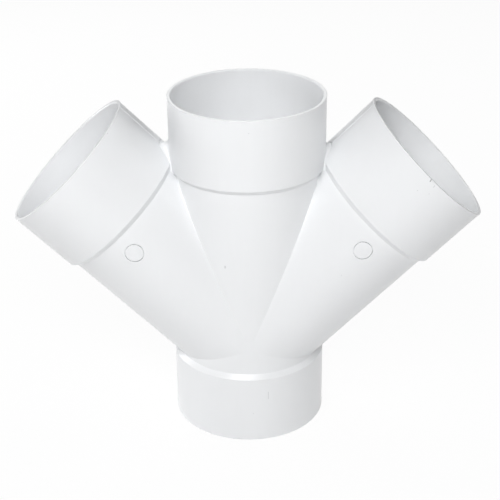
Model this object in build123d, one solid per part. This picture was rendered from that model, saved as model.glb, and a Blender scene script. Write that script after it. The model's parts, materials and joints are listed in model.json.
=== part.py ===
from build123d import *
import math
import os

# Double lateral wye for 4 in thin-wall drain pipe: a straight run with two equal branches
# leaving it at 45 degrees, left and right, in the XZ plane. One moulding, in millimetres.
# The origin is the centre of the bottom socket's rim face, and +Z runs up the run.

# Pipe sockets, the same four times
PIPE_SOCKET_RADIUS = 53.8
SOCKET_DEPTH = 47.6
HUB_WALL = 2.5
HUB_LENGTH = 51.7
SHOULDER_LENGTH = 3.5
MOUTH_CHAMFER = 0.8
LIP_FLARE = 0.3
LIP_LENGTH = 2.0

# Barrels and the waterway inside them
WATERWAY_RADIUS = 50.5
BARREL_WALL = 2.6

# Where the four arms end, measured from the point where their axes meet
RUN_BOTTOM = 75.2
RUN_TOP = 178.6
BRANCH_REACH = 184.0
BRANCH_ANGLE = 45.0

# Moulded radii in the creases between barrels and between hubs, and in the narrow webs
# that fill the crotches between hubs, the left one a little higher
BARREL_CREASE_RADIUS = 2.0
HUB_CREASE_RADIUS = 1.0
WEB_RADII = {"right": 2.5, "left": 4.0}
WEB_WIDTH = 8.0
BARREL_CREASE_START = 24.0
HUB_CREASE_START = 60.0
CREASE_MARGIN = 20.0

# Marks left by the mould
PARTING_HEIGHT = 0.2
PARTING_WIDTH = 0.6
PARTING_END = 0.5
PIN_DISTANCE = 113.4
PIN_RADIUS = 7.0
PIN_HEIGHT = 0.15
GROOVE_WIDTH = 0.8
GROOVE_DEPTH = 0.35

HUB_RADIUS = PIPE_SOCKET_RADIUS + HUB_WALL
BARREL_RADIUS = WATERWAY_RADIUS + BARREL_WALL
CENTRE = Location((0, 0, RUN_BOTTOM))
BIG = 400.0
ON_BASE = (Align.CENTER, Align.CENTER, Align.MIN)

# Each arm: its turn about +Y away from straight up, and the distance out to its rim
ARMS = {
    "top": (0.0, RUN_TOP),
    "bottom": (180.0, RUN_BOTTOM),
    "right": (BRANCH_ANGLE, BRANCH_REACH),
    "left": (-BRANCH_ANGLE, BRANCH_REACH),
}


def facing(turn):
    """Frame at the centre whose own +Z is turned about +Y by this many degrees."""
    return CENTRE * Rotation(0, turn, 0)


def hub_start(name):
    """Distance along an arm at which its full-size hub begins."""
    return ARMS[name][1] - HUB_LENGTH


def turned(name, points):
    """Solid made by turning a closed outline of (radius, distance) about an arm."""
    outline = Polyline(*[(r, 0, s) for r, s in points], close=True)
    return facing(ARMS[name][0]) * revolve(make_face(outline), Axis.Z)


def outer_solid(name):
    """Barrel, 45 degree shoulder, hub and the slight flare at its rim."""
    rim = ARMS[name][1]
    return turned(name, [
        (0, 0),
        (BARREL_RADIUS, 0),
        (BARREL_RADIUS, hub_start(name) - SHOULDER_LENGTH),
        (HUB_RADIUS, hub_start(name)),
        (HUB_RADIUS, rim - LIP_LENGTH),
        (HUB_RADIUS + LIP_FLARE, rim),
        (0, rim),
    ])


def inner_solid(name):
    """Waterway, the ledge the pipe stops on, the socket and its chamfered mouth."""
    rim = ARMS[name][1]
    ledge = rim - SOCKET_DEPTH
    mouth_radius = PIPE_SOCKET_RADIUS + MOUTH_CHAMFER
    return turned(name, [
        (0, 0),
        (WATERWAY_RADIUS, 0),
        (WATERWAY_RADIUS, ledge),
        (PIPE_SOCKET_RADIUS, ledge),
        (PIPE_SOCKET_RADIUS, rim - MOUTH_CHAMFER),
        (mouth_radius, rim),
        (mouth_radius, rim + 1),
        (0, rim + 1),
    ])


def rod(name, radius, start, end):
    """Plain cylinder along an arm, between two distances from the centre."""
    return turned(name, [(0, start), (radius, start), (radius, end), (0, end)])


def beyond(turn, distance):
    """Block holding everything past a plane square to a direction in the XZ plane."""
    return facing(turn) * Location((0, 0, distance)) * Box(BIG * 2, BIG, BIG, align=ON_BASE)


def creased_pair(first, second, radius, crease_start, crease_radius):
    """Two equal cylinders with the crease between them rounded to a moulded radius.

    The crease lies in the plane that halves the angle between the two arms. Near the
    front and back of the body it fades out, so the pair is cut off there, at
    crease_start degrees round from the point where it vanishes.
    """
    first_turn, second_turn = ARMS[first][0], ARMS[second][0]
    if second_turn < 0 and first_turn > 90:
        first_turn -= 360
    middle = (first_turn + second_turn) / 2
    half = math.radians(abs(second_turn - first_turn) / 2)
    cut = radius * math.sin(math.radians(crease_start)) / math.sin(half)
    reach = radius / math.tan(half) + CREASE_MARGIN
    pair = rod(first, radius, -radius, reach) + rod(second, radius, -radius, reach)
    pair = pair & beyond(middle, cut)
    across = Plane(facing(middle)).x_dir
    origin = CENTRE.position

    def on_crease(edge):
        return all(abs((edge @ t - origin).dot(across)) < 0.001 for t in (0, 0.4, 0.8))

    crease = [edge for edge in pair.edges() if on_crease(edge) and edge.length > 5]
    return fillet(crease, crease_radius)


def hub_web(branch):
    """Crease between the top hub and a branch hub, with a web across the crotch."""
    crease = creased_pair("top", branch, HUB_RADIUS, HUB_CREASE_START, HUB_CREASE_RADIUS)
    crotch = creased_pair("top", branch, HUB_RADIUS, HUB_CREASE_START, WEB_RADII[branch])
    pair = crease + (crotch & Box(BIG * 2, WEB_WIDTH, BIG * 2))
    for name in ("top", branch):
        pair = pair & beyond(ARMS[name][0], hub_start(name))
    return pair


def parting_fin():
    """Thin line left round the outside where the mould halves met, up to the flares."""
    fin = Part()
    for name, (turn, rim) in ARMS.items():
        barrel = BARREL_RADIUS + PARTING_HEIGHT
        hub = HUB_RADIUS + PARTING_HEIGHT
        step = hub_start(name)
        side = [
            (barrel, 0),
            (barrel, step - SHOULDER_LENGTH),
            (hub, step),
            (hub, rim - PARTING_END),
        ]
        outline = side + [(-x, s) for x, s in reversed(side)]
        plate = make_face(Polyline(*[(x, 0, s) for x, s in outline], close=True))
        fin += facing(turn) * extrude(plate, PARTING_WIDTH / 2, both=True)
    return fin


def pin_prism(name, radius):
    """Short round bar pointing out of the front of a branch barrel."""
    at = facing(ARMS[name][0]) * Location((0, 0, PIN_DISTANCE)) * Rotation(90, 0, 0)
    return at * Cylinder(radius, BARREL_RADIUS + 5, align=ON_BASE)


outer = Part() + [outer_solid(name) for name in ARMS]
for branch in ("right", "left"):
    for neighbour in ("top", "bottom"):
        outer += creased_pair(
            neighbour, branch, BARREL_RADIUS, BARREL_CREASE_START, BARREL_CREASE_RADIUS)
    outer += hub_web(branch)
outer += parting_fin()

# Ejector pin marks: a disc standing very slightly proud inside a fine ring groove
for branch in ("right", "left"):
    disc = pin_prism(branch, PIN_RADIUS - GROOVE_WIDTH)
    ring = pin_prism(branch, PIN_RADIUS) - disc
    outer -= ring - rod(branch, BARREL_RADIUS - GROOVE_DEPTH, 0, BRANCH_REACH)
    outer += disc & rod(branch, BARREL_RADIUS + PIN_HEIGHT, 0, BRANCH_REACH)

wye = outer - [inner_solid(name) for name in ARMS]

os.makedirs("parts", exist_ok=True)
export_step(wye, "parts/double_wye.step")
print("volume", wye.volume, "solids", len(wye.solids()), "faces", len(wye.faces()), wye.is_valid)
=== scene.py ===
# %% [markdown]
# # A double wye for drain pipe
# The fitting is one white plastic moulding: four sockets for pipe, a straight run and two
# branches at 45 degrees. Its solid is already built to size and packed as a frame. Here it
# gets the surface the eye sees: fine creases, mould marks, a satin skin and plain light.

# %% Load the frame
import json
import math

import bpy
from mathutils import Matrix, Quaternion, Vector


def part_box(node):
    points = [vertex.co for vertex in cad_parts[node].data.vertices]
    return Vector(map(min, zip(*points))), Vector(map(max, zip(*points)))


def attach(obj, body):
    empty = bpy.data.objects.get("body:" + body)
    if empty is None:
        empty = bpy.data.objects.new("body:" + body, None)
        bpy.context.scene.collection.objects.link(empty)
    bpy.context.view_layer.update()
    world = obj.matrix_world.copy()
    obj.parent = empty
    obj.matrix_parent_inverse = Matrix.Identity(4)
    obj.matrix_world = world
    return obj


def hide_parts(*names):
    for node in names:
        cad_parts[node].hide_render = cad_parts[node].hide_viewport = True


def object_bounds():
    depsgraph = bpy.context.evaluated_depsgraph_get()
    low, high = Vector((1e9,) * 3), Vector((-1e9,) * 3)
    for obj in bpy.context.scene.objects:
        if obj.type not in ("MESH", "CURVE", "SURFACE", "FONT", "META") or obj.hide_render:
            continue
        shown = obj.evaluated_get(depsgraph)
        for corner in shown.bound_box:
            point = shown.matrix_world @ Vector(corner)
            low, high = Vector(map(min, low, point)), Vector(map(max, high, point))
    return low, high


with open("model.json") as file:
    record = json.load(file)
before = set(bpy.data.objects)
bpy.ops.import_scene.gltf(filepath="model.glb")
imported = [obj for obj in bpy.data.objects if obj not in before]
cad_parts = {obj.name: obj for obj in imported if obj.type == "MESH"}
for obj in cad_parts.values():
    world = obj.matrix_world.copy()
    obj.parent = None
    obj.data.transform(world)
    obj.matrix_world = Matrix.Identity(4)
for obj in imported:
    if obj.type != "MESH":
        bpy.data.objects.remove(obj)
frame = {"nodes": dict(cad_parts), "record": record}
measured_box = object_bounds()
print("frame holds", sorted(frame["nodes"]))

# %% [markdown]
# ## Sizes that the frame already knows
# Every socket is a mount in the record: where its ledge lies, which way it faces and how
# wide it is. The box gives the two ends of the run. Reading them here keeps every arm where
# the solid has it. The frame doesn't list the other sizes, so they are typed below. They
# repeat the solid's, but for a finer crease, the webs and a deeper, narrower pin ring.

# %% Read the arms from the mounts and the box
mounts = {mount["name"]: mount for mount in frame["record"]["mounts"]}
lowest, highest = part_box("double_wye")
outlet = mounts["run_outlet"]
branch = mounts["branch_right"]
branch_x, _, branch_z = branch["pos_m"]

SOCKET_DEPTH = highest[2] - outlet["pos_m"][2]
BRANCH_TURN = math.atan2(branch["axis"][0], branch["axis"][2])
CENTRE_HEIGHT = branch_z - branch_x / math.tan(BRANCH_TURN)
TOP_REACH = highest[2] - CENTRE_HEIGHT
BOTTOM_REACH = CENTRE_HEIGHT - lowest[2]
BRANCH_REACH = math.hypot(branch_x, branch_z - CENTRE_HEIGHT) + SOCKET_DEPTH
print("axes meet", round(CENTRE_HEIGHT * 1000, 2), "mm up; branches turn",
      round(math.degrees(BRANCH_TURN), 2), "degrees")

# %% Name the sizes of the moulding, in metres
SIZES = {
    "barrel radius": 0.0531,
    "hub radius": 0.0563,
    "hub length": 0.0517,
    "shoulder length": 0.0035,
    "socket radius": outlet["dims"]["r_mm"] / 1000,
    "socket depth": SOCKET_DEPTH,
    "waterway radius": 0.0505,
    "mouth chamfer": 0.0008,
    "flare": 0.0003,
    "flare length": 0.002,
    "crease radius": 0.0005,
    "web width": 0.0320,
    "parting height": 0.0002,
    "parting width": 0.0006,
    "pin distance": 0.1134,
    "pin radius": 0.0070,
    "pin gap": 0.0006,
    "pin depth": 0.0012,
    "pin height": 0.00015,
}
RIGHT_WEB = 0.0025
LEFT_WEB = 0.0042
print("named sizes:", len(SIZES))

# %% [markdown]
# ## Node trees written as sums
# The shape follows a rule, so Geometry Nodes grow it. A tree drawn by hand in the editor is
# clear while it is small. This one holds a few hundred small sums, which read better as
# sums. A Wire stands for one value in a tree, and adding two wires puts an Add node there.

# %% Write sums that become nodes
class Wire:
    """One value flowing through a node tree, ready for + - * / < > as in a plain sum."""

    def __init__(self, board, socket):
        self.board = board
        self.socket = socket

    def __add__(self, other):
        return self.board.maths("ADD", self, other)

    def __radd__(self, other):
        return self.board.maths("ADD", other, self)

    def __sub__(self, other):
        return self.board.maths("SUBTRACT", self, other)

    def __rsub__(self, other):
        return self.board.maths("SUBTRACT", other, self)

    def __mul__(self, other):
        return self.board.maths("MULTIPLY", self, other)

    def __rmul__(self, other):
        return self.board.maths("MULTIPLY", other, self)

    def __truediv__(self, other):
        return self.board.maths("DIVIDE", self, other)

    def __lt__(self, other):
        return self.board.maths("LESS_THAN", self, other)

    def __gt__(self, other):
        return self.board.maths("GREATER_THAN", self, other)


# %% Give a tree named inputs, nodes and outputs
class Board:
    """A node tree with named inputs and outputs."""

    def __init__(self, title, kind="GeometryNodeTree"):
        self.tree = bpy.data.node_groups.new(title, kind)
        self.entry = self.tree.nodes.new("NodeGroupInput")
        self.exit = self.tree.nodes.new("NodeGroupOutput")

    def takes(self, name, value=None, kind="NodeSocketFloat"):
        item = self.tree.interface.new_socket(name, in_out="INPUT", socket_type=kind)
        if value is not None:
            item.default_value = value
        return Wire(self, self.entry.outputs[name])

    def gives(self, name, wire, kind="NodeSocketGeometry"):
        self.tree.interface.new_socket(name, in_out="OUTPUT", socket_type=kind)
        self.tree.links.new(wire.socket, self.exit.inputs[name])

    def feed(self, socket, value):
        if isinstance(value, Wire):
            self.tree.links.new(value.socket, socket)
        else:
            socket.default_value = value

    def put(self, kind, inputs=None, out=None, **settings):
        """Add a node, fill its inputs by name or number, and return one of its outputs."""
        node = self.tree.nodes.new(kind)
        for key, value in settings.items():
            setattr(node, key, value)
        for name, value in (inputs or {}).items():
            if isinstance(name, int):
                socket = node.inputs[name]
            else:
                socket = next(s for s in node.inputs if s.enabled and s.name == name)
            self.feed(socket, value)
        usable = [s for s in node.outputs if s.enabled]
        return Wire(self, next(s for s in usable if out in (None, s.name)))

    def maths(self, operation, *values):
        return self.put("ShaderNodeMath", dict(enumerate(values)), operation=operation)

    def arrows(self, operation, *values):
        """A sum on vectors."""
        return self.put("ShaderNodeVectorMath", dict(enumerate(values)), operation=operation)

    def either(self, test, yes, no):
        """yes where the test is 1, no where it is 0."""
        return no + test * (yes - no)

    def blend(self, start, end, share):
        return start + share * (end - start)


# %% Write in a tree that is already there
def board_over(tree):
    """A Board for a tree that Blender made itself, such as a material's."""
    b = Board.__new__(Board)
    b.tree = tree
    return b


# %% Pack and unpack vectors, and pick from a list
def vector(b, x, y, z):
    return b.put("ShaderNodeCombineXYZ", {"X": x, "Y": y, "Z": z})


def parts(b, wire):
    """The three numbers of a vector."""
    node = b.tree.nodes.new("ShaderNodeSeparateXYZ")
    b.tree.links.new(wire.socket, node.inputs[0])
    return [Wire(b, socket) for socket in node.outputs]


def chosen(b, index, values):
    """The value whose place in the list is the index."""
    node = b.tree.nodes.new("GeometryNodeIndexSwitch")
    node.data_type = "FLOAT"
    while len(node.index_switch_items) < len(values):
        node.index_switch_items.new()
    b.feed(node.inputs[0], index)
    for socket, value in zip(list(node.inputs)[1:], values):
        b.feed(socket, value)
    return Wire(b, node.outputs[0])


# %% Keep numbers on points and read them back
def attribute(b, name):
    return b.put("GeometryNodeInputNamedAttribute", {"Name": name}, out="Attribute",
                 data_type="FLOAT")


def store(b, geometry, name, value):
    return b.put("GeometryNodeStoreNamedAttribute",
                 {"Geometry": geometry, "Name": name, "Value": value}, data_type="FLOAT")


def sample(b, geometry, value, index, data_type="FLOAT"):
    return b.put("GeometryNodeSampleIndex",
                 {"Geometry": geometry, "Value": value, "Index": index},
                 data_type=data_type, clamp=True)


def joined(b, pieces):
    node = b.tree.nodes.new("GeometryNodeJoinGeometry")
    for piece in pieces:
        b.feed(node.inputs[0], piece)
    return Wire(b, node.outputs[0])


def take_sizes(b):
    return {name: b.takes(name, value) for name, value in SIZES.items()}


def give_sizes(size):
    return {name: size[name] for name in SIZES}


# %% [markdown]
# ## The socket in section
# Cut through a socket and the same outline shows four times: a short 45 degree shoulder, the
# hub, a slight flare at the rim, the mouth's small chamfer, the straight socket and the
# ledge the pipe stops on. A mould has no true corners, so a Fillet Curve node rounds each
# one by its own amount. Points are (radius, distance from the rim).

# %% Draw the socket outline
LEAD = 0.004
ROUNDING_STEPS = 3


def outline_tree():
    """Section of one socket, from the barrel round the rim to the waterway."""
    b = Board("socket outline")
    size = take_sizes(b)
    start = 0 - size["hub length"]
    foot = start - size["shoulder length"]
    ledge = 0 - size["socket depth"]
    mouth = size["socket radius"] + size["mouth chamfer"]
    corners = [  # radius, distance from the rim, rounding, 1 on the outside
        (size["barrel radius"], foot - LEAD, 0.0, 1),
        (size["barrel radius"], foot, 0.0008, 1),
        (size["hub radius"], start, 0.0005, 1),
        (size["hub radius"], 0 - size["flare length"], 0.0, 1),
        (size["hub radius"] + size["flare"], 0.0, 0.0004, 1),
        (mouth, 0.0, 0.0002, 0),
        (size["socket radius"], 0 - size["mouth chamfer"], 0.0002, 0),
        (size["socket radius"], ledge, 0.0004, 0),
        (size["waterway radius"], ledge, 0.0004, 0),
        (size["waterway radius"], ledge - LEAD, 0.0, 0),
    ]
    index = b.put("GeometryNodeInputIndex")
    radius, along, rounding, outside = (
        chosen(b, index, [corner[i] for corner in corners]) for i in range(4))
    line = b.put("GeometryNodePoints", {"Count": len(corners)})
    place = vector(b, radius, 0.0, along)
    line = b.put("GeometryNodeSetPosition", {"Geometry": line, "Position": place})
    line = store(b, line, "rounding", rounding)
    line = store(b, line, "outside", outside)
    line = b.put("GeometryNodePointsToCurves", {"Points": line})
    line = b.put("GeometryNodeFilletCurve", {
        "Curve": line, "Radius": attribute(b, "rounding"), "Count": ROUNDING_STEPS,
        "Limit Radius": True},
        mode="POLY")
    b.gives("Outline", line)
    return b.tree


outline = outline_tree()
print("outline nodes:", len(outline.nodes))

# %% [markdown]
# ## The crease as a resting ball
# Where two arms meet, the mould leaves a small even radius. Picture a ball of that radius
# pushed into the corner until it touches both arms: the strip it leaves is the crease. Its
# centre is where both arms, grown outwards by the ball's radius, meet. A shoulder and a hub
# are part of an arm, so the same rule carries the crease up over them. In the crotch beside
# the top hub the ball is larger: level across the middle quarter of the web, then shrinking.

# %% Space the columns round an arm
COLUMNS = 128
CREASE_ROWS = 6
BARREL_ROWS = 6
WATERWAY_ROWS = 8
HALVINGS = 34
FIN_FOOT = 1.5
FARTHEST_CREASE = 0.2
WEB_LEVEL_SHARE = 0.25


def round_angle(b, size, column):
    """Angle of a column about its arm: even, but for two close pairs on the mould line."""
    half = COLUMNS / 2
    from_middle = column - half
    count = b.maths("ABSOLUTE", from_middle)
    edge = size["parting width"] / 2 / size["barrel radius"]
    foot = edge * FIN_FOOT
    even = foot + (count - 2) * (math.pi / 2 - foot) / (half - 2)
    near = b.either(count < 1.5, edge * count, foot)
    return b.maths("SIGN", from_middle) * b.either(count < 2.5, near, even)


def ball_radius(b, size, web, column):
    """Ball at a column: the crease's own, growing to the web's across the crotch."""
    off = b.maths("ABSOLUTE", b.maths("SINE", round_angle(b, size, column)))
    off = off * size["hub radius"]
    edge = size["web width"] / 2
    return b.put("ShaderNodeMapRange", {
        "Value": off, "From Min": edge * WEB_LEVEL_SHARE, "From Max": edge,
        "To Min": web, "To Max": size["crease radius"]}, interpolation_type="SMOOTHSTEP")


# %% Grow an arm by the ball, and find where the ball touches it
def grown(b, size, ball, along, start):
    """Radius of an arm grown outwards by a ball, at a distance along the arm."""
    rise = size["hub radius"] - size["barrel radius"]
    slope = b.maths("ARCTAN2", rise, size["shoulder length"])
    sine, cosine = b.maths("SINE", slope), b.maths("COSINE", slope)
    foot = start - size["shoulder length"]
    line = size["barrel radius"] + (along - foot) * sine / cosine + ball / cosine
    short = b.maths("MAXIMUM", start - along, 0.0)
    arc = size["hub radius"] + b.maths("SQRT", ball * ball - short * short)
    on_line = along < start - ball * sine
    step = b.either(on_line, line, arc)
    plain = size["barrel radius"] + ball
    return {"radius": b.maths("MAXIMUM", plain, step), "on barrel": plain > step,
            "on line": on_line, "sine": sine, "cosine": cosine}


def touched(b, size, ball, along, start):
    """Where the ball touches the arm: distance along it, and radius."""
    g = grown(b, size, ball, along, start)
    on_slope = b.either(g["on line"], along + ball * g["sine"],
                        b.maths("MAXIMUM", along, start))
    slope_radius = b.either(g["on line"], g["radius"] - ball * g["cosine"],
                            size["hub radius"])
    return (b.either(g["on barrel"], along, on_slope),
            b.either(g["on barrel"], size["barrel radius"], slope_radius))


def across(b, angle, along, side):
    """The same point seen from the neighbouring arm: along it, and sideways from it."""
    sine, cosine = b.maths("SINE", angle), b.maths("COSINE", angle)
    return along * cosine + side * sine, along * sine - side * cosine


# %% [markdown]
# ### Finding the resting place
# No plain formula gives the place once a shoulder is in the way, so a Repeat Zone looks for
# it: it halves the stretch where the ball could lie, again and again, and each time keeps
# the half in which the ball changes from stuck to clear. Thirty-four halvings leave a
# stretch far shorter than any edge of the mesh.

# %% Roll the ball with a Repeat Zone
def crease_tree():
    """For each column, how far along the first arm the ball comes to rest."""
    b = Board("crease")
    size = take_sizes(b)
    web = b.takes("web radius", RIGHT_WEB)
    angle = b.takes("angle between", BRANCH_TURN)
    first_start = b.takes("first hub start", TOP_REACH)
    second_start = b.takes("second hub start", BRANCH_REACH)
    column = b.put("GeometryNodeInputIndex")
    radius = ball_radius(b, size, web, column)
    full = size["barrel radius"] + radius
    line = b.put("GeometryNodeMeshLine", {"Count": COLUMNS + 1})
    line = store(b, line, "low", 0.0)
    line = store(b, line, "high", FARTHEST_CREASE)
    line = store(b, line, "ball", radius)
    line = store(b, line, "depth", full * b.maths("SINE", round_angle(b, size, column)))
    repeat_in = b.tree.nodes.new("GeometryNodeRepeatInput")
    repeat_out = b.tree.nodes.new("GeometryNodeRepeatOutput")
    repeat_in.pair_with_output(repeat_out)
    b.feed(repeat_in.inputs["Iterations"], HALVINGS)
    b.feed(repeat_in.inputs["Geometry"], line)
    inside = Wire(b, repeat_in.outputs["Geometry"])
    low, high, y, ball = (attribute(b, name) for name in ("low", "high", "depth", "ball"))
    middle = (low + high) / 2
    mine = grown(b, size, ball, middle, first_start)["radius"]
    side = b.maths("SQRT", mine * mine - y * y)
    other_along, other_side = across(b, angle, middle, side)
    other = grown(b, size, ball, other_along, second_start)["radius"]
    clear = (other_side * other_side + y * y) > (other * other)
    inside = store(b, inside, "middle", middle)
    inside = store(b, inside, "clear", clear)
    place, is_clear = attribute(b, "middle"), attribute(b, "clear")
    inside = store(b, inside, "low", b.either(is_clear, low, place))
    inside = store(b, inside, "high", b.either(is_clear, place, high))
    b.feed(repeat_out.inputs["Geometry"], inside)
    line = Wire(b, repeat_out.outputs["Geometry"])
    not_a_pole = b.maths("ABSOLUTE", column - COLUMNS / 2) < COLUMNS / 2 - 0.5
    b.gives("Crease", store(b, line, "along", attribute(b, "high") * not_a_pole))
    return b.tree


crease = crease_tree()
print("crease nodes:", len(crease.nodes))

# %% [markdown]
# ## Two facing walls
# Cut the body along the crease planes and it falls into half arms in facing pairs. Each half
# is one grid of quads. Its columns run round the arm; its rows go from the crease, along the
# barrel, over the shoulder and hub, round the rim and back down the inside to the waterway's
# own crease. Neighbours have their edge points in the same places, so that the walls can be
# stitched into one skin.

# %% Place the rows that lie in the crease
def towards(b, centre, point):
    """Direction from the ball's centre to a point, one unit long."""
    return b.arrows("NORMALIZE", b.arrows("SUBTRACT", point, centre))


def crease_rows(b, size, wall):
    """Rows on the ball, from the middle of the crease to where it touches this arm."""
    along, side, depth = wall["along"], wall["side"], wall["depth"]
    full = b.maths("SQRT", side * side + depth * depth)
    cosine, sine = side / full, depth / full
    touch_along, touch_radius = touched(b, size, wall["ball"], along, wall["start"])
    far_side = wall["far side"]
    far_full = b.maths("SQRT", far_side * far_side + depth * depth)
    far_touch, far_radius = touched(b, size, wall["ball"], wall["far along"],
                                    wall["far start"])
    far_point = across(b, wall["angle"], far_touch, far_radius * far_side / far_full)
    centre = vector(b, along, side, depth)
    to_me = towards(b, centre, vector(
        b, touch_along, touch_radius * cosine, touch_radius * sine))
    to_them = towards(b, centre, vector(
        b, far_point[0], far_point[1], far_radius * depth / far_full))
    middle = b.arrows("NORMALIZE", b.arrows("ADD", to_me, to_them))
    share = b.maths("MINIMUM", wall["row"] / CREASE_ROWS, 1.0)
    way = b.put("ShaderNodeMix", {"Factor": share, "A": middle, "B": to_me},
                data_type="VECTOR")
    reach = wall["ball"] - wall["raised"] * share
    way = b.put("ShaderNodeVectorMath",
                {0: b.arrows("NORMALIZE", way), "Scale": reach}, operation="SCALE")
    touch = {"along": touch_along, "radius": touch_radius, "cosine": cosine, "sine": sine}
    return b.arrows("ADD", centre, way), touch


# %% Place the rows past the crease
def plain_rows(b, size, wall, profile, touch):
    """Rows along the barrel, round the socket's outline and down the waterway."""
    row, first_profile = wall["row"], wall["first profile"]
    place = b.maths("SUBTRACT", row, first_profile)
    position = b.put("GeometryNodeInputPosition")
    corner = sample(b, profile, position, place, "FLOAT_VECTOR")
    profile_radius, _, profile_along = parts(b, corner)
    outside = sample(b, profile, attribute(b, "outside"), place) > 0.5
    barrel_end = wall["reach"] + parts(b, sample(b, profile, position, 0, "FLOAT_VECTOR"))[2]
    on_barrel = row < first_profile - 0.5
    share = (row - CREASE_ROWS) / (BARREL_ROWS + 1)
    s = b.either(on_barrel, b.blend(touch["along"], barrel_end, share),
                 wall["reach"] + profile_along)
    r = b.either(on_barrel, size["barrel radius"], profile_radius)
    outer = b.maths("MAXIMUM", on_barrel, outside)
    buried = outer * (s < touch["along"])
    s = b.either(buried, touch["along"], s)
    r = b.either(buried, touch["radius"], r) + outer * wall["raised"]

    # The waterway has no rounding: its crease is where two plain bores meet
    half_angle = b.maths("TANGENT", wall["angle"] / 2)
    turn_cosine, turn_sine = b.maths("COSINE", wall["turn"]), b.maths("SINE", wall["turn"])
    inner_end = size["waterway radius"] * turn_cosine / half_angle
    ledge = wall["reach"] - size["socket depth"] - LEAD
    inner_share = (row - (first_profile - 1) - wall["profile rows"]) / WATERWAY_ROWS
    in_waterway = inner_share > 0
    s = b.either(in_waterway, b.blend(ledge, inner_end, inner_share), s)
    r = b.either(in_waterway, size["waterway radius"], r)
    between = (size["waterway radius"] + size["socket radius"]) / 2
    narrow = b.maths("MAXIMUM", (r < between) * (1 - outer), in_waterway)
    cosine = b.either(narrow, turn_cosine, touch["cosine"])
    sine = b.either(narrow, turn_sine, touch["sine"])
    return vector(b, s, r * cosine, r * sine)


# %% Join a facing pair of walls
def ready_grid(b, profile_rows):
    """Flat grid of quads whose points know their column and row."""
    first_profile = CREASE_ROWS + BARREL_ROWS + 1
    rows = profile_rows + (first_profile + WATERWAY_ROWS)
    grid = b.put("GeometryNodeMeshGrid", {
        "Size X": COLUMNS, "Size Y": rows - 1,
        "Vertices X": COLUMNS + 1, "Vertices Y": rows}, out="Mesh")
    x, y, _ = parts(b, b.put("GeometryNodeInputPosition"))
    grid = store(b, grid, "column", b.maths("ROUND", x + COLUMNS / 2))
    return store(b, grid, "row", b.maths("ROUND", y + (rows - 1) / 2)), first_profile


def walls_tree():
    """The facing halves of two neighbouring arms, joined along the crease between them."""
    b = Board("two facing walls")
    size = take_sizes(b)
    web = b.takes("web radius", RIGHT_WEB)
    turns = [b.takes("first turn", 0.0), b.takes("second turn", BRANCH_TURN)]
    reaches = [b.takes("first reach", TOP_REACH), b.takes("second reach", BRANCH_REACH)]
    angle = turns[1] - turns[0]
    starts = [reach - size["hub length"] for reach in reaches]
    rolled = b.put("GeometryNodeGroup", {
        **give_sizes(size), "web radius": web, "angle between": angle,
        "first hub start": starts[0], "second hub start": starts[1]}, node_tree=crease)
    profile = b.put("GeometryNodeGroup", give_sizes(size), node_tree=outline)
    profile_rows = b.put("GeometryNodeAttributeDomainSize", {"Geometry": profile},
                         out="Point Count", component="CURVE")
    grid, first_profile = ready_grid(b, profile_rows)
    column, row = attribute(b, "column"), attribute(b, "row")

    turn = round_angle(b, size, column)
    ball = ball_radius(b, size, web, column)
    depth = (size["barrel radius"] + ball) * b.maths("SINE", turn)
    first_along = sample(b, rolled, attribute(b, "along"), column)
    radius = grown(b, size, ball, first_along, starts[0])["radius"]
    first_side = b.maths("SQRT", radius * radius - depth * depth)
    sections = [(first_along, first_side), across(b, angle, first_along, first_side)]
    on_line = b.maths("ABSOLUTE", column - COLUMNS / 2) < 1.5
    common = {"row": row, "turn": turn, "ball": ball, "depth": depth, "angle": angle,
              "raised": size["parting height"] * on_line,
              "first profile": first_profile, "profile rows": profile_rows}
    walls = []
    for mine, theirs, facing in ((0, 1, 1), (1, 0, -1)):
        wall = {**common, "along": sections[mine][0], "side": sections[mine][1],
                "far along": sections[theirs][0], "far side": sections[theirs][1],
                "start": starts[mine], "far start": starts[theirs], "reach": reaches[mine]}
        fillet, touch = crease_rows(b, size, wall)
        plain = plain_rows(b, size, wall, profile, touch)
        in_crease = row < CREASE_ROWS - 0.5
        local = b.put("ShaderNodeMix", {"Factor": in_crease, "A": plain, "B": fillet},
                      data_type="VECTOR")
        along, side, out = parts(b, local)
        sine, cosine = b.maths("SINE", turns[mine]), b.maths("COSINE", turns[mine])
        place = vector(b, along * sine + side * cosine * facing, out,
                       along * cosine - side * sine * facing)
        half = b.put("GeometryNodeSetPosition", {"Geometry": grid, "Position": place})
        if facing < 0:
            half = b.put("GeometryNodeFlipFaces", {"Mesh": half})
        walls.append(half)
    b.gives("Walls", joined(b, walls))
    return b.tree


walls = walls_tree()
print("wall nodes:", len(walls.nodes))

# %% [markdown]
# ## Ejector pin marks
# Two round pins push the warm moulding out of the mould, one on each branch. Each leaves a
# fine dark ring and a disc that stands a hair proud. A shallow round pocket is cut into the
# barrel, and a slightly smaller plug fills it again, so that a narrow gap is left all round.
# The plug's top edge is eased, because that edge is what catches the light.

# %% Wrap a flat shape on a branch barrel
PLUG_SIDES = 72
EDGE_BAND = 0.1
CUT_CLEARANCE = 0.001
PLUG_ROOT = 0.0003
PLUG_EASE = 0.00012
SAME_PLACE = 0.00001


def wrapped(b, size, geometry):
    """Bend a flat shape (x across, y along, z up) round the front of the right branch."""
    x, y, z = parts(b, b.put("GeometryNodeInputPosition"))
    turn = x / size["barrel radius"]
    radius = size["barrel radius"] + z
    place = vector(b, radius * b.maths("SINE", turn), radius * b.maths("COSINE", turn) * -1,
                   y + size["pin distance"])
    return b.put("GeometryNodeSetPosition", {"Geometry": geometry, "Position": place})


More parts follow.
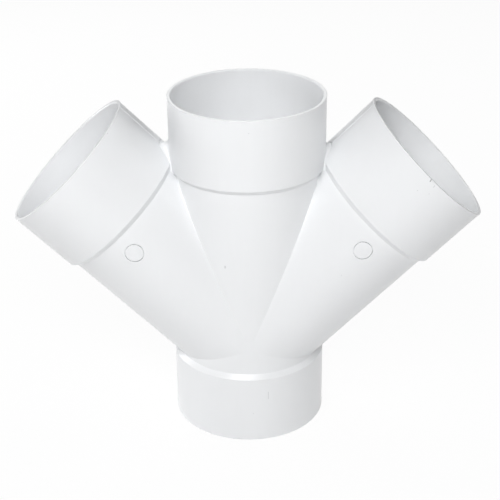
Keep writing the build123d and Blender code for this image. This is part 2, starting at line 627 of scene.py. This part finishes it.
def flat_plug(b, radius, low, high):
    """Upright cylinder between two heights."""
    plug = b.put("GeometryNodeMeshCylinder", {
        "Vertices": PLUG_SIDES, "Side Segments": 3, "Fill Segments": 4, "Radius": radius,
        "Depth": high - low}, out="Mesh")
    lift = vector(b, 0.0, 0.0, (high + low) / 2)
    return b.put("GeometryNodeSetPosition", {"Geometry": plug, "Offset": lift})


def eased(b, plug, radius, high, ease):
    """The same plug with a small chamfer round its top edge."""
    x, y, z = parts(b, b.put("GeometryNodeInputPosition"))
    out = b.maths("SQRT", x * x + y * y)
    on_top = z > high - SAME_PLACE
    at_edge = out > radius - SAME_PLACE
    under_top = at_edge * (z > high - radius * EDGE_BAND) * (1 - on_top)
    inward = 1 - at_edge * on_top * ease / radius
    place = vector(b, x * inward, y * inward, b.either(under_top, high - ease, z))
    return b.put("GeometryNodeSetPosition", {"Geometry": plug, "Position": place})


def pin_tree():
    """The pocket that is cut out, and the plug that fills most of it again."""
    b = Board("ejector pin marks")
    size = take_sizes(b)
    bottom = 0 - size["pin depth"]
    pocket = flat_plug(b, size["pin radius"], bottom, CUT_CLEARANCE)
    plug_radius = size["pin radius"] - size["pin gap"]
    plug = flat_plug(b, plug_radius, bottom - PLUG_ROOT, size["pin height"])
    plug = eased(b, plug, plug_radius, size["pin height"], PLUG_EASE)
    for name, piece in (("Pocket", pocket), ("Plug", plug)):
        b.gives(name, wrapped(b, size, piece))
    return b.tree


pins = pin_tree()
print("pin nodes:", len(pins.nodes))

# %% [markdown]
# ## The whole body
# The right half is two pairs of walls: run top with branch, and branch with run bottom. The
# left half is its mirror, with a slightly larger web in the crotch. Merge by Distance
# stitches the halves, and again, far more finely, clears the twin points that cutting the
# pins leaves. Every edge sharper than 40 degrees is marked, because the mould leaves those
# crisp and soft shading across them would look like wax.

# %% Assemble the body tree
SHARP = math.radians(40)
SEAM = 0.00002
TWIN_POINTS = 0.000002


def side_half(b, size, web, reach, turn):
    """Walls on one side of the run."""
    upper = b.put("GeometryNodeGroup", {
        **give_sizes(size), "web radius": web, "first turn": 0.0, "second turn": turn,
        "first reach": reach["top"], "second reach": reach["branch"]}, node_tree=walls)
    lower = b.put("GeometryNodeGroup", {
        **give_sizes(size), "web radius": size["crease radius"], "first turn": turn,
        "second turn": math.pi, "first reach": reach["branch"],
        "second reach": reach["bottom"]}, node_tree=walls)
    return joined(b, [upper, lower])


def mirrored(b, piece):
    turned = b.put("GeometryNodeTransform", {"Geometry": piece, "Scale": (-1, 1, 1)})
    return b.put("GeometryNodeFlipFaces", {"Mesh": turned})


def pin_pieces(b, size, turn):
    """The pockets and plugs of both branches."""
    node = b.tree.nodes.new("GeometryNodeGroup")
    node.node_tree = pins
    for name, wire in give_sizes(size).items():
        b.feed(node.inputs[name], wire)
    found = []
    for name in ("Pocket", "Plug"):
        right = b.put("GeometryNodeTransform", {
            "Geometry": Wire(b, node.outputs[name]), "Rotation": vector(b, 0.0, turn, 0.0)})
        found.append((right, mirrored(b, right)))
    return found


def body_tree():
    b = Board("double wye")
    size = take_sizes(b)
    right_web = b.takes("right web radius", RIGHT_WEB)
    left_web = b.takes("left web radius", LEFT_WEB)
    reach = {"top": b.takes("top reach", TOP_REACH),
             "bottom": b.takes("bottom reach", BOTTOM_REACH),
             "branch": b.takes("branch reach", BRANCH_REACH)}
    turn = b.takes("branch turn", BRANCH_TURN)
    height = b.takes("centre height", CENTRE_HEIGHT)
    finish = b.takes("Finish", kind="NodeSocketMaterial")
    right = side_half(b, size, right_web, reach, turn)
    left = mirrored(b, side_half(b, size, left_web, reach, turn))
    body = b.put("GeometryNodeMergeByDistance",
                 {"Geometry": joined(b, [right, left]), "Distance": SEAM})
    pockets, plugs = pin_pieces(b, size, turn)
    for pocket in pockets:
        body = b.put("GeometryNodeMeshBoolean", {"Mesh 1": body, "Mesh 2": pocket},
                     out="Mesh", operation="DIFFERENCE", solver="EXACT")
    for plug in plugs:
        node = b.tree.nodes.new("GeometryNodeMeshBoolean")
        node.operation = "UNION"
        node.solver = "EXACT"
        b.feed(node.inputs["Mesh 2"], body)
        b.feed(node.inputs["Mesh 2"], plug)
        body = Wire(b, node.outputs["Mesh"])
    body = b.put("GeometryNodeMergeByDistance", {"Geometry": body, "Distance": TWIN_POINTS})
    body = b.put("GeometryNodeTransform",
                 {"Geometry": body, "Translation": vector(b, 0.0, 0.0, height)})
    body = b.put("GeometryNodeSetShadeSmooth", {"Geometry": body, "Shade Smooth": True})
    bend = b.put("GeometryNodeInputMeshEdgeAngle", out="Unsigned Angle")
    body = b.put("GeometryNodeSetShadeSmooth", {
        "Geometry": body, "Selection": bend > SHARP, "Shade Smooth": False}, domain="EDGE")
    body = b.put("GeometryNodeRealizeInstances", {"Geometry": body})
    b.gives("Body", b.put("GeometryNodeSetMaterial", {"Geometry": body, "Material": finish}))
    return b.tree


whole = body_tree()
print("body nodes:", len(whole.nodes))

# %% [markdown]
# ## Moulded white plastic
# Up close, moulded drain plastic is not one even white. It has a satin skin with a very fine
# pebble from the mould steel, faint streaks where the melt flowed, and soft clouds where it
# cooled unevenly. Each is noise at its own scale, read from the piece's own coordinates in
# metres, so nothing slides. A shader group holds the recipe. Its streaks run upright
# everywhere, which keeps it simple; real ones would turn along each branch.

# %% Mix the skin of the plastic
STREAK_SHAPE = (9.0, 9.0, 1.0)
STREAK_SCALE = 1.6
STREAK_TONE = 0.5
STREAK_HEIGHT = 0.6
CLOUD_ROUGHNESS = 0.08
PEBBLE_ROUGHNESS = 0.05


def shader_noise(b, place, scale, detail, roughness=0.5):
    return b.put("ShaderNodeTexNoise", {
        "Vector": place, "Scale": scale, "Detail": detail, "Roughness": roughness})


def centred(wire, amount):
    """Noise moved to swing about nothing by an amount."""
    return (wire - 0.5) * amount


def skin_group():
    """Pebble, streaks and clouds, as a height, a tone and a roughness."""
    b = Board("moulded skin", "ShaderNodeTree")
    place = b.takes("Place", kind="NodeSocketVector")
    pebble_size = b.takes("Pebbles per metre", 1500.0)
    cloud_size = b.takes("Clouds per metre", 22.0)
    tone = b.takes("Tone", 0.03)
    roughness = b.takes("Roughness", 0.3)
    pebble = shader_noise(b, place, pebble_size, 2.0)
    cloud = shader_noise(b, place, cloud_size, 3.0)
    drawn_out = b.arrows("MULTIPLY", place, STREAK_SHAPE)
    streak = shader_noise(b, drawn_out, cloud_size * STREAK_SCALE, 3.0)
    shade = 1 + centred(cloud, tone) + centred(streak, tone * STREAK_TONE)
    b.gives("Height", pebble + streak * STREAK_HEIGHT, "NodeSocketFloat")
    b.gives("Tone", shade, "NodeSocketFloat")
    uneven = centred(cloud, CLOUD_ROUGHNESS) + centred(pebble, PEBBLE_ROUGHNESS)
    b.gives("Roughness", roughness + uneven, "NodeSocketFloat")
    return b.tree


skin = skin_group()
print("skin nodes:", len(skin.nodes))

# %% [markdown]
# ## Small knocks and specks
# A fitting that has been in a bin carries a few marks: a nick in a rim, grey specks, one fine
# scratch. Each is a soft stretched spot round a named point, and all of them use one group.
# They darken the colour a little and dent the surface, and there are few, as on a new part.

# %% Make one mark from a place, a size and a stretch
RAGGED_SCALE = 1800.0
SOLID_SHARE = 0.25
EDGE_SHARE = 0.4


def mark_group():
    """A soft spot: 1 at its centre, nothing past its edge, longer along one direction."""
    b = Board("small mark", "ShaderNodeTree")
    place = b.takes("Place", kind="NodeSocketVector")
    centre = b.takes("Centre", kind="NodeSocketVector")
    width = b.takes("Width", 0.001)
    reach = b.takes("Half length", 0.0)
    direction = b.takes("Direction", kind="NodeSocketVector")
    away = b.arrows("SUBTRACT", place, centre)
    along = b.put("ShaderNodeVectorMath", {0: away, 1: direction}, out="Value",
                  operation="DOT_PRODUCT")
    held = b.maths("MINIMUM", b.maths("MAXIMUM", along, 0 - reach), reach)
    nearest = b.put("ShaderNodeVectorMath", {0: direction, "Scale": held}, operation="SCALE")
    off = b.put("ShaderNodeVectorMath", {0: away, 1: nearest}, out="Value",
                operation="DISTANCE")
    ragged = shader_noise(b, place, RAGGED_SCALE, 1.0)
    spot = b.put("ShaderNodeMapRange", {
        "Value": off, "From Min": width * (EDGE_SHARE + ragged), "From Max": width * SOLID_SHARE,
        "To Min": 0.0, "To Max": 1.0}, interpolation_type="SMOOTHSTEP")
    b.gives("Mask", spot, "NodeSocketFloat")
    return b.tree


# %% List the marks, measured from where the axes meet
UPRIGHT = (0.0, 0.0, 1.0)
DOWN_RIM = (-0.41, 0.0, -0.91)
MARKS = {  # centre in mm, width, half length, direction, depth of tone
    "rim nick": ((125.2, -55.8, 135.7), 0.7, 2.4, DOWN_RIM, 0.85),
    "nick tail": ((127.0, -56.3, 129.9), 0.5, 0.6, DOWN_RIM, 0.35),
    "hub speck": ((123.9, -56.3, 124.4), 0.5, 0.0, UPRIGHT, 0.35),
    "inner hub speck": ((115.9, -55.8, 126.8), 0.6, 0.0, UPRIGHT, 0.35),
    "run speck": ((-16.8, -50.5, 67.1), 1.0, 0.5, UPRIGHT, 0.35),
    "top hub speck": ((0.7, -56.3, 170.0), 0.6, 0.0, UPRIGHT, 0.30),
    "left hub speck": ((-96.2, -31.9, 161.8), 0.7, 0.0, UPRIGHT, 0.30),
    "right barrel speck": ((65.6, -53.1, 60.8), 0.6, 0.0, UPRIGHT, 0.30),
    "bottom hub speck": ((2.4, -56.2, -52.1), 0.7, 0.0, UPRIGHT, 0.25),
    "bottom hub scratch": ((13.6, -54.6, -37.5), 0.35, 3.0, UPRIGHT, 0.35),
}


def mark_centre(centre):
    """A mark's place in metres, in the frame's own coordinates."""
    return Vector(centre) / 1000 + Vector((0, 0, CENTRE_HEIGHT))


mark = mark_group()
print("marks:", len(MARKS))

# %% [markdown]
# ### Putting the finish together
# The plastic itself is a Principled shader: a slightly cool white, satin, with the clear
# surface gloss of any hard plastic. The groups feed its colour, roughness and bump. What is
# the same all over stays typed on the shader's own sockets.

# %% Build the plastic
PLASTIC = (0.840, 0.850, 0.862)
GRIME = (0.30, 0.30, 0.31)
PLASTIC_IOR = 1.53
DENT_DEPTH = 6
BUMP_STRENGTH = 0.35
BUMP_HEIGHT = 0.00002
DIRT_ROUGHNESS = 0.3


def plastic():
    """Satin white moulded plastic with its skin and its marks."""
    material = bpy.data.materials.new("moulded_plastic")
    material.use_nodes = True
    b = board_over(material.node_tree)
    shader = b.tree.nodes["Principled BSDF"]
    place = b.put("ShaderNodeTexCoord", out="Object")
    skin_node = b.tree.nodes.new("ShaderNodeGroup")
    skin_node.node_tree = skin
    b.feed(skin_node.inputs["Place"], place)
    height, tone, roughness = (Wire(b, skin_node.outputs[name])
                               for name in ("Height", "Tone", "Roughness"))
    dirt = dents = None
    for centre, width, half, direction, depth in MARKS.values():
        spot = b.put("ShaderNodeGroup", {
            "Place": place, "Centre": mark_centre(centre), "Width": width / 1000,
            "Half length": half / 1000, "Direction": Vector(direction).normalized()},
            node_tree=mark)
        stain = spot * depth
        dirt = stain if dirt is None else b.maths("MAXIMUM", dirt, stain)
        dents = spot if dents is None else b.maths("MAXIMUM", dents, spot)
    clean = b.put("ShaderNodeVectorMath", {0: PLASTIC, "Scale": tone}, operation="SCALE")
    colour = b.put("ShaderNodeMix", {"Factor": dirt, "A": clean, "B": GRIME},
                   data_type="VECTOR")
    bump = b.put("ShaderNodeBump", {"Strength": BUMP_STRENGTH, "Distance": BUMP_HEIGHT,
                                    "Height": height - dents * DENT_DEPTH})
    b.feed(shader.inputs["Base Color"], colour)
    b.feed(shader.inputs["Roughness"], roughness + dirt * DIRT_ROUGHNESS)
    b.feed(shader.inputs["Normal"], bump)
    shader.inputs["IOR"].default_value = PLASTIC_IOR
    return material


finish = plastic()
print("plastic nodes:", len(finish.node_tree.nodes))

# %% [markdown]
# ## Growing the piece
# The tree runs once and its result is kept as a plain mesh, so the piece can be measured,
# exported and lit like any other. Weighted normals then let the long barrels keep their true
# roundness right up to the tiny curved strips beside them.

# %% Run a tree and keep its mesh
def kept_mesh(holder):
    """Replace an object's mesh by what its modifiers make of it, and drop them."""
    depsgraph = bpy.context.evaluated_depsgraph_get()
    made = bpy.data.meshes.new_from_object(
        holder.evaluated_get(depsgraph), preserve_all_data_layers=True, depsgraph=depsgraph)
    holder.modifiers.clear()
    made.name = holder.name
    holder.data = made
    return made


def grown_piece(title, tree, inputs, material):
    """Run a geometry tree once and keep its result as a plain mesh object."""
    holder = bpy.data.objects.new(title, bpy.data.meshes.new(title))
    bpy.context.collection.objects.link(holder)
    modifier = holder.modifiers.new("shape", "NODES")
    modifier.node_group = tree
    for item in tree.interface.items_tree:
        if item.in_out == "INPUT" and item.name in inputs:
            modifier[item.identifier] = inputs[item.name]
    made = kept_mesh(holder)
    made.materials.clear()
    made.materials.append(material)
    made.polygons.foreach_set("material_index", [0] * len(made.polygons))
    for name in ("column", "row"):
        layer = made.attributes.get(name)
        if layer:
            made.attributes.remove(layer)
    return holder


fitting = grown_piece("fitting", whole, {"Finish": finish}, finish)
print("fitting:", len(fitting.data.vertices), "points,", len(fitting.data.polygons), "faces")

# %% Shade the fitting
even_shading = fitting.modifiers.new("even shading", "WEIGHTED_NORMAL")
even_shading.keep_sharp = True
even_shading.weight = 100
kept_mesh(fitting)
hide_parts("double_wye")
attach(fitting, "root")
print("shaded with split normals:", fitting.data.has_custom_normals)

# %% [markdown]
# ## A white floor that keeps the shadow
# The fitting stands on a plain white sweep. A floor lit white would throw too much light
# back up at it, so the floor is an honest pale grey to the lamps, and only the camera and
# mirror reflections see it lifted to white. The lift leaves a share of the real light in, so
# the soft shadow at the foot of the fitting stays.

# %% Lay the floor
FLOOR_HALF = 20.0
FLOOR_TONE = (0.88, 0.88, 0.88)
MATT = 0.9
LIFT = 0.94


def seen_directly(b):
    """1 for rays from the camera and for mirror or glass rays, 0 for light bouncing about."""
    node = b.tree.nodes.new("ShaderNodeLightPath")
    rays = [Wire(b, node.outputs[name]) for name in
            ("Is Camera Ray", "Is Glossy Ray", "Is Transmission Ray")]
    return b.maths("MAXIMUM", b.maths("MAXIMUM", rays[0], rays[1]), rays[2])


def floor_finish():
    """Pale matt floor, lifted towards white where it is seen directly."""
    material = bpy.data.materials.new("pale_floor")
    material.use_nodes = True
    b = board_over(material.node_tree)
    shader = b.tree.nodes["Principled BSDF"]
    shader.inputs["Base Color"].default_value = (*FLOOR_TONE, 1)
    shader.inputs["Roughness"].default_value = MATT
    white = b.put("ShaderNodeEmission", {"Strength": 1.0})
    lifted = b.put("ShaderNodeMixShader", {
        0: seen_directly(b) * LIFT, 1: Wire(b, shader.outputs[0]), 2: white})
    b.feed(b.tree.nodes["Material Output"].inputs["Surface"], lifted)
    return material


floor = bpy.data.objects.new("floor", bpy.data.meshes.new("floor"))
corners = [(x * FLOOR_HALF, y * FLOOR_HALF, 0) for x, y in ((-1, -1), (1, -1), (1, 1), (-1, 1))]
floor.data.from_pydata(corners, [], [(0, 1, 2, 3)])
floor.data.materials.append(floor_finish())
bpy.context.collection.objects.link(floor)
print("floor is", FLOOR_HALF * 2, "m wide")

# %% Paint the world white where it is seen directly
world = bpy.data.worlds.new("studio")
world.use_nodes = True
sky = board_over(world.node_tree)
background = sky.tree.nodes["Background"]
background.inputs["Color"].default_value = (1, 1, 1, 1)
sky.feed(background.inputs["Strength"], seen_directly(sky))
bpy.context.scene.world = world
print("world is white to the camera and to mirror rays, and black to the rest")

# %% [markdown]
# ## A dark curtain all round
# White plastic in a white room loses its edges, because they mirror the room. Studios stand
# dark cloth just out of the picture, so every rim and crease has something dark to mirror.
# Here one open ring of cloth stands on the floor, well behind the lamps and hidden from the
# camera.

# %% Hang the curtain
CURTAIN_RADIUS = 2.2
CURTAIN_HEIGHT = 2.0
CURTAIN_STEPS = 64
CLOTH_TONE = (0.03, 0.03, 0.03)
cloth = bpy.data.materials.new("dark_cloth")
cloth.use_nodes = True
cloth_shader = cloth.node_tree.nodes["Principled BSDF"]
cloth_shader.inputs["Base Color"].default_value = (*CLOTH_TONE, 1)
cloth_shader.inputs["Roughness"].default_value = MATT
ring = [(CURTAIN_RADIUS * math.cos(a), CURTAIN_RADIUS * math.sin(a))
        for a in (2 * math.pi * step / CURTAIN_STEPS for step in range(CURTAIN_STEPS))]
hems = [(x, y, z) for z in (0.0, CURTAIN_HEIGHT) for x, y in ring]
panels = [(i, (i + 1) % CURTAIN_STEPS, CURTAIN_STEPS + (i + 1) % CURTAIN_STEPS, CURTAIN_STEPS + i)
          for i in range(CURTAIN_STEPS)]
curtain = bpy.data.objects.new("curtain", bpy.data.meshes.new("curtain"))
curtain.data.from_pydata(hems, [], panels)
curtain.data.materials.append(cloth)
curtain.visible_camera = False
bpy.context.collection.objects.link(curtain)
print("curtain:", len(panels), "panels")

# %% [markdown]
# ## Soft lamps
# One soft lamp stands high in front and a second, about half as strong, above it to the
# left. A low lamp on the left draws that side's edge, and three behind fill the mouths. Two
# of those behind stay out of mirror reflections, because they would leave a hot spot on a
# hub. Every lamp looks at the middle of the fitting from the same distance.

# %% Hang the lamps
LAMP_DISTANCE = 1.3
LAMPS = {  # degrees round from the front, degrees up, width in m, watts, seen in mirrors
    "key": (0, 35, 0.5, 9, True),
    "upper left": (-20, 50, 0.5, 5, True),
    "low left": (-110, 5, 0.7, 6, True),
    "left behind": (-150, 30, 0.7, 6, False),
    "right behind": (120, 30, 0.7, 4, False),
    "behind": (180, 30, 0.7, 2, True),
}


def facing_back(turn, rise):
    """Direction from the subject to something this far round and this far up, in degrees."""
    a, e = math.radians(turn), math.radians(rise)
    return Vector((math.sin(a) * math.cos(e), -math.cos(a) * math.cos(e), math.sin(e)))


middle = (Vector(measured_box[0]) + Vector(measured_box[1])) / 2
for name, (turn, rise, width, watts, mirrored) in LAMPS.items():
    light = bpy.data.lights.new(name, "AREA")
    light.shape = "DISK"
    light.size = width
    light.energy = watts
    lamp = bpy.data.objects.new(name, light)
    back = facing_back(turn, rise)
    lamp.location = middle + back * LAMP_DISTANCE
    lamp.rotation_mode = "QUATERNION"
    lamp.rotation_quaternion = back.to_track_quat("Z", "Y")
    lamp.visible_camera = False
    lamp.visible_glossy = mirrored
    bpy.context.collection.objects.link(lamp)
print("lamps:", len(LAMPS), "with", round(sum(lamp[3] for lamp in LAMPS.values()), 1), "W")

# %% [markdown]
# ## The camera
# It looks down on the fitting from the front at 26 degrees, through a lens long enough that
# near and far sockets keep nearly the same size, as catalogue pictures do. It is turned and
# rolled by half a degree or less.

# %% Set the camera
CAMERA_TURN = -0.35
CAMERA_RISE = 26.1
CAMERA_ROLL = math.radians(-0.5)
CAMERA_DISTANCE = 0.977
CAMERA_LENS = 94.3
CAMERA_SHIFT = 0.001
AIM = Vector((0.0016, 0.0, 0.1305))

camera = bpy.data.objects.new("camera", bpy.data.cameras.new("camera"))
back = facing_back(CAMERA_TURN, CAMERA_RISE)
camera.location = AIM + back * CAMERA_DISTANCE
camera.rotation_mode = "QUATERNION"
camera.rotation_quaternion = (
    (-back).to_track_quat("-Z", "Y") @ Quaternion((0, 0, 1), CAMERA_ROLL))
camera.data.lens = CAMERA_LENS
camera.data.shift_x = -CAMERA_SHIFT
camera.data.shift_y = CAMERA_SHIFT
bpy.context.collection.objects.link(camera)
bpy.context.scene.camera = camera
bpy.context.scene.view_settings.view_transform = "Standard"
print("camera looks down", CAMERA_RISE, "degrees")
